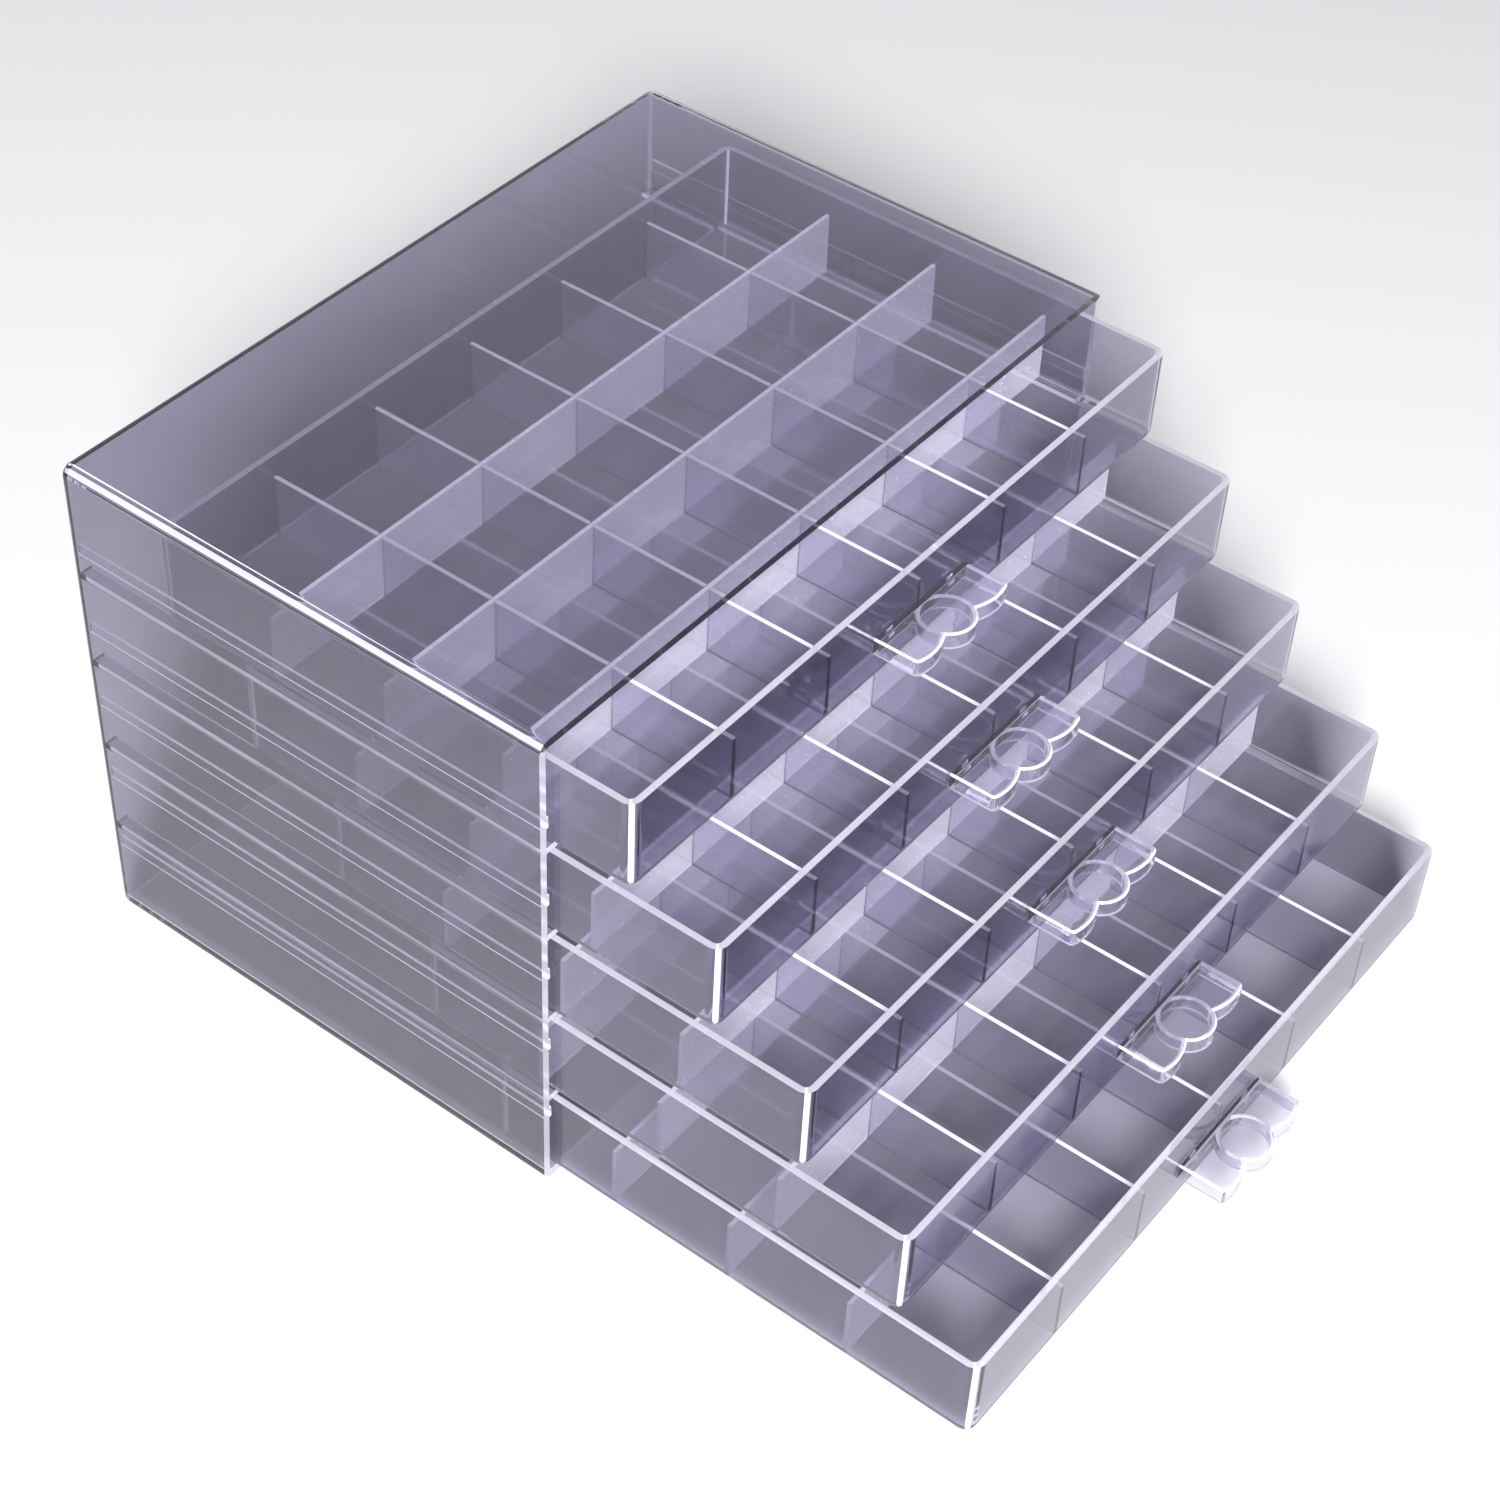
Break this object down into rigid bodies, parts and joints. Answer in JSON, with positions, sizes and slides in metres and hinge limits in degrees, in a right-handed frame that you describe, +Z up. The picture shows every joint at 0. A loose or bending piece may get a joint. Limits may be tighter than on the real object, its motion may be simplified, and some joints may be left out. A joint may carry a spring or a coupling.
{
  "type": "nail polish organizer drawers",
  "caption": "Clear plastic desktop cabinet with stacked pull-out drawers, each divided into small compartments and pulled by a bow-shaped knob.",
  "frame": {"origin": "middle of the cabinet's underside, on the table", "axes": "+Z up, +X to the right as seen from the front, the open front and the drawers' way out towards -Y"},
  "size_m": [0.235, 0.3071, 0.1584],
  "materials": {
    "cabinet_plastic": "clear, smooth and glossy",
    "drawer_plastic": "clear, smooth and glossy",
    "divider_plastic": "clear, smooth and glossy",
    "knob_plastic": "clear, smooth and glossy"
  },
  "bodies": {
    "cabinet": {"cabinet_shell": "cabinet_plastic"},
    "drawer_1": {"drawer_1_tray": "drawer_plastic", "drawer_1_long_dividers": "divider_plastic", "drawer_1_short_dividers": "divider_plastic", "drawer_1_knob": "knob_plastic"},
    "drawer_2": {"drawer_2_tray": "drawer_plastic", "drawer_2_long_dividers": "divider_plastic", "drawer_2_short_dividers": "divider_plastic", "drawer_2_knob": "knob_plastic"},
    "drawer_3": {"drawer_3_tray": "drawer_plastic", "drawer_3_long_dividers": "divider_plastic", "drawer_3_short_dividers": "divider_plastic", "drawer_3_knob": "knob_plastic"},
    "drawer_4": {"drawer_4_tray": "drawer_plastic", "drawer_4_long_dividers": "divider_plastic", "drawer_4_short_dividers": "divider_plastic", "drawer_4_knob": "knob_plastic"},
    "drawer_5": {"drawer_5_tray": "drawer_plastic", "drawer_5_long_dividers": "divider_plastic", "drawer_5_short_dividers": "divider_plastic", "drawer_5_knob": "knob_plastic"}
  },
  "joints": [
    {"name": "drawer_1_slide", "type": "slide", "parent": "cabinet", "child": "drawer_1", "axis": [0, -1, 0], "range_m": [-0.02465, 0.11446]},
    {"name": "drawer_2_slide", "type": "slide", "parent": "cabinet", "child": "drawer_2", "axis": [0, -1, 0], "range_m": [-0.0508, 0.0883]},
    {"name": "drawer_3_slide", "type": "slide", "parent": "cabinet", "child": "drawer_3", "axis": [0, -1, 0], "range_m": [-0.07847, 0.06063]},
    {"name": "drawer_4_slide", "type": "slide", "parent": "cabinet", "child": "drawer_4", "axis": [0, -1, 0], "range_m": [-0.10962, 0.02948]},
    {"name": "drawer_5_slide", "type": "slide", "parent": "cabinet", "child": "drawer_5", "axis": [0, -1, 0], "range_m": [-0.1329, 0.0062]}
  ]
}
